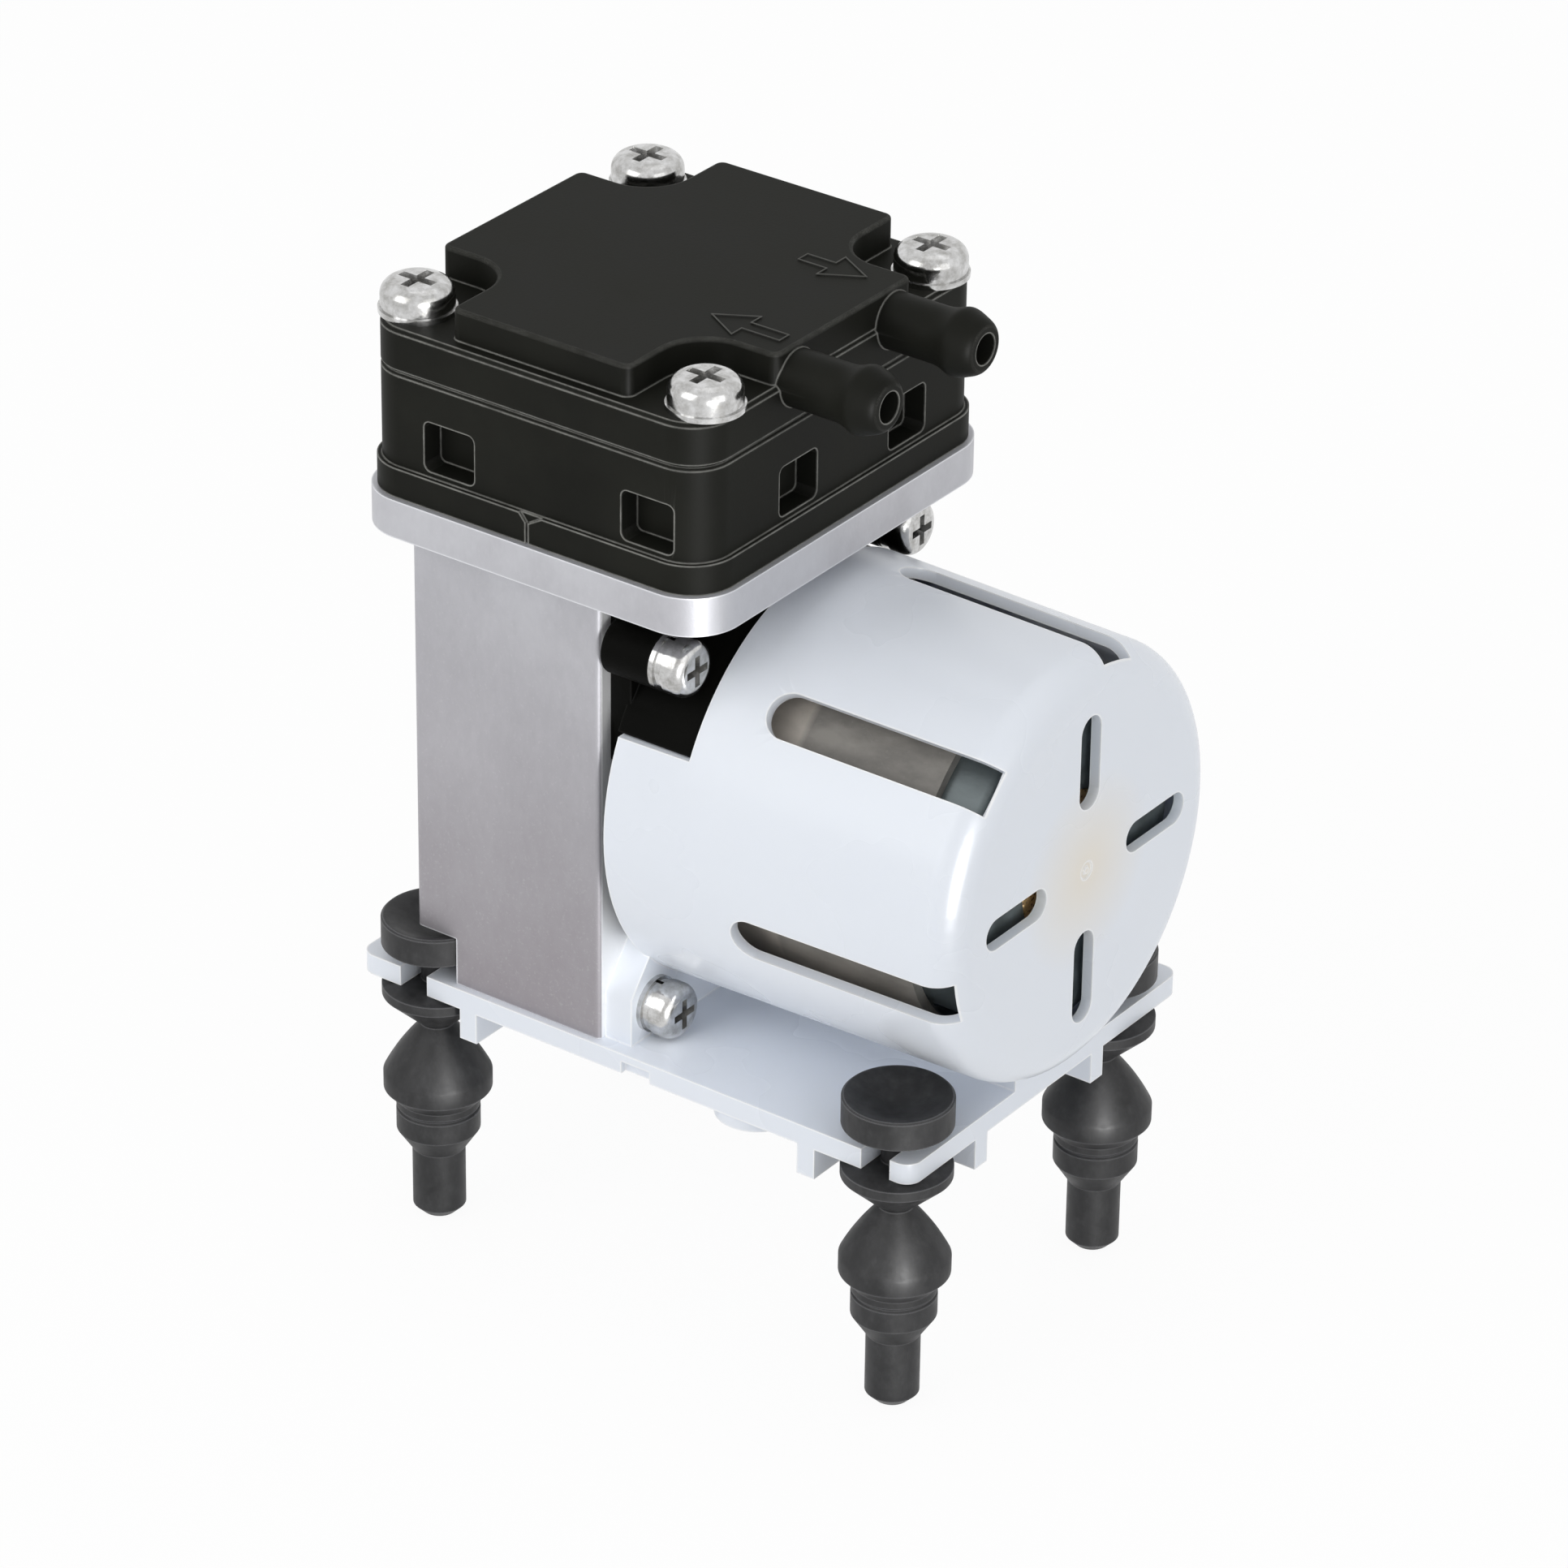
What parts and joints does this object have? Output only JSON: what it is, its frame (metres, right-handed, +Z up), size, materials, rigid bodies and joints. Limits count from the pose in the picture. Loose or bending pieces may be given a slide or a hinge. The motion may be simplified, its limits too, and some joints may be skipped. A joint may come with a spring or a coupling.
{
  "type": "diaphragm vacuum pump",
  "caption": "Small diaphragm vacuum pump: brush motor under a slotted white cover, die-cast housing, black valve head with hose nozzles, rubber feet.",
  "frame": {"origin": "centre of the four feet, level with their lower ends", "axes": "+X along the motor axis towards the hose nozzles and the motor's end, +Y across, +Z up from the feet to the head"},
  "size_m": [0.0697, 0.0473, 0.1004],
  "materials": {
    "white_plastic": "satin moulded",
    "die_cast": "mottled die casting",
    "black_plastic": "satin",
    "bracket_plastic": "satin",
    "valve_plastic": "satin",
    "valve_rubber": "matte",
    "diaphragm_rubber": "matte",
    "foot_rubber": "matte",
    "zinc_screw": "bright plated",
    "dark_steel": "blackened",
    "shaft_steel": "ground",
    "motor_steel": "plated sheet",
    "bronze": "sintered bronze",
    "magnet": "sintered ferrite",
    "core_steel": "laminated",
    "winding": "enamelled copper wire",
    "commutator_copper": "turned",
    "carbon": "matte",
    "rod_alloy": "machined"
  },
  "bodies": {
    "pump_body": {"base_cover": "white_plastic", "pump_housing": "die_cast", "head_frame": "black_plastic", "head_cover": "black_plastic", "motor_bracket": "bracket_plastic", "valve_plate": "valve_plastic", "valve_gasket": "valve_rubber", "diaphragm": "diaphragm_rubber", "head_screws": "zinc_screw", "head_washers": "zinc_screw", "upper_screws": "zinc_screw", "upper_flat_washers": "zinc_screw", "upper_spring_washers": "zinc_screw", "lower_screws": "zinc_screw", "lower_flat_washers": "zinc_screw", "lower_spring_washers": "zinc_screw", "bracket_screws": "zinc_screw", "motor_can": "motor_steel", "flux_ring": "motor_steel", "motor_end_cap": "motor_steel", "front_bearing": "bronze", "rear_bearing": "bronze", "motor_magnets": "magnet", "brush_holder": "bracket_plastic", "brushes": "carbon", "foot_rear_near": "foot_rubber", "foot_rear_far": "foot_rubber", "foot_front_near": "foot_rubber", "foot_front_far": "foot_rubber"},
    "rotor": {"motor_shaft": "shaft_steel", "armature_core": "core_steel", "armature_windings": "winding", "commutator": "commutator_copper", "eccentric": "shaft_steel", "set_screw": "dark_steel", "bearing_inner_ring": "shaft_steel", "bearing_balls": "shaft_steel"},
    "rod": {"bearing_outer_ring": "shaft_steel", "connecting_rod": "rod_alloy", "support_plate": "rod_alloy", "retainer_plate": "shaft_steel", "retainer_screw": "zinc_screw"},
    "inlet_flap": {"inlet_valve": "valve_rubber"},
    "outlet_flap": {"outlet_valve": "valve_rubber"}
  },
  "joints": [
    {"name": "shaft_spin", "type": "hinge", "parent": "pump_body", "child": "rotor", "pos_m": [0, 0, 0.0523], "axis": [1, 0, 0], "continuous": true, "deforming": ["diaphragm"]},
    {"name": "crank_pin", "type": "hinge", "parent": "rotor", "child": "rod", "pos_m": [0, 0, 0.0514], "axis": [1, 0, 0], "continuous": true, "deforming": ["diaphragm"]},
    {"name": "inlet_lift", "type": "slide", "parent": "pump_body", "child": "inlet_flap", "axis": [0, 0, -1], "range_m": [0, 0.0005], "stiffness_N_per_m": 5, "springref_m": -0.0005},
    {"name": "outlet_lift", "type": "slide", "parent": "pump_body", "child": "outlet_flap", "axis": [0, 0, 1], "range_m": [0, 0.0005], "stiffness_N_per_m": 5, "springref_m": -0.0005}
  ],
  "couplings": [
    {"joint": "crank_pin", "follows": "shaft_spin", "ratio": -1}
  ]
}
